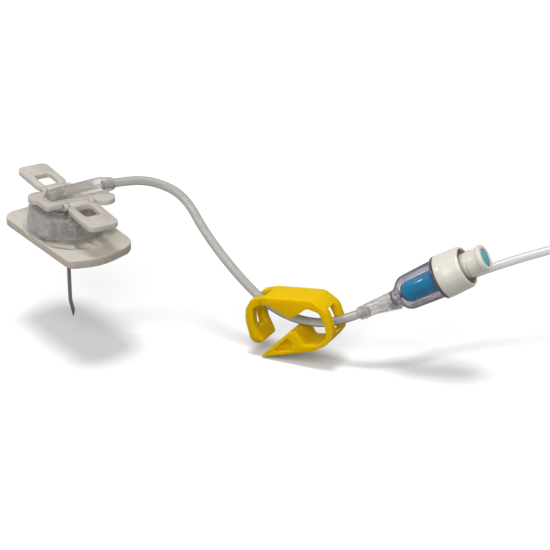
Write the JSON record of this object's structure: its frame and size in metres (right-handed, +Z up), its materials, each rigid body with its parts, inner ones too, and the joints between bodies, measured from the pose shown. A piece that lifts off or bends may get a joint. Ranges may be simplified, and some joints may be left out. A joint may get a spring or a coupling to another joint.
{
  "type": "port needle set",
  "caption": "Bent needle in a winged hub on a sliding shield base and foam pad, with a clamped line, a Y-piece, a needle-free valve and an extension line.",
  "frame": {"origin": "on the needle's axis at the skin, in the plane of the pad's underside", "axes": "+X the way the line leaves the hub, +Y along the pad and wings, +Z up out of the skin"},
  "size_m": [0.1189, 0.0894, 0.0392],
  "materials": {
    "foam": "matt closed-cell foam",
    "clear_plastic": "clear moulded",
    "frosted_plastic": "frosted moulded",
    "steel": "drawn stainless",
    "tubing": "clear soft tubing",
    "yellow_plastic": "satin moulded",
    "blue_silicone": "satin silicone",
    "white_plastic": "satin moulded"
  },
  "bodies": {
    "root": {"needle": "steel", "needle_hub": "clear_plastic", "saddle": "frosted_plastic", "front_hinge_pin": "clear_plastic", "rear_hinge_pin": "clear_plastic", "tube_main": "tubing", "tube_pinch": "tubing", "tube_tail": "tubing", "clamp_body": "yellow_plastic", "y_piece": "clear_plastic", "valve_housing": "clear_plastic", "valve_core": "clear_plastic", "valve_piston": "blue_silicone", "valve_collar": "white_plastic", "tube_extension": "tubing", "line_connector": "clear_plastic"},
    "shield": {"foam_pad": "foam", "base_plate": "clear_plastic", "base_cover": "clear_plastic", "tip_clip": "steel"},
    "front_wing": {"front_wing": "frosted_plastic"},
    "rear_wing": {"rear_wing": "frosted_plastic"},
    "clamp_latch": {"clamp_latch": "yellow_plastic"},
    "clamp_jaw": {"clamp_jaw": "yellow_plastic"},
    "septum": {"valve_septum": "blue_silicone"}
  },
  "joints": [
    {"name": "shield_slide", "type": "slide", "parent": "root", "child": "shield", "axis": [0, 0, -1], "range_m": [0, 0.0235]},
    {"name": "front_wing_fold", "type": "hinge", "parent": "root", "child": "front_wing", "pos_m": [0.0004, -0.0056, 0.0102], "axis": [-1, 0, 0], "range_deg": [0, 80]},
    {"name": "rear_wing_fold", "type": "hinge", "parent": "root", "child": "rear_wing", "pos_m": [0.0004, 0.0056, 0.0102], "axis": [1, 0, 0], "range_deg": [0, 80]},
    {"name": "clamp_close", "type": "hinge", "parent": "root", "child": "clamp_jaw", "pos_m": [0.04454, -0.04311, -0.01504], "axis": [0.859, 0.512, 0], "range_deg": [0, 14.5], "deforming": ["tube_pinch"]},
    {"name": "latch_flex", "type": "hinge", "parent": "root", "child": "clamp_latch", "pos_m": [0.0342, -0.02578, -0.01464], "axis": [0.859, 0.512, 0], "range_deg": [0, 17.5]},
    {"name": "valve_press", "type": "slide", "parent": "root", "child": "septum", "axis": [-0.5771, 0.6276, -0.5225], "range_m": [0, 0.0035], "stiffness_N_per_m": 400, "deforming": ["valve_piston"]}
  ],
  "couplings": [
    {"joint": "latch_flex", "follows": "clamp_close", "ratio": 1.2}
  ]
}
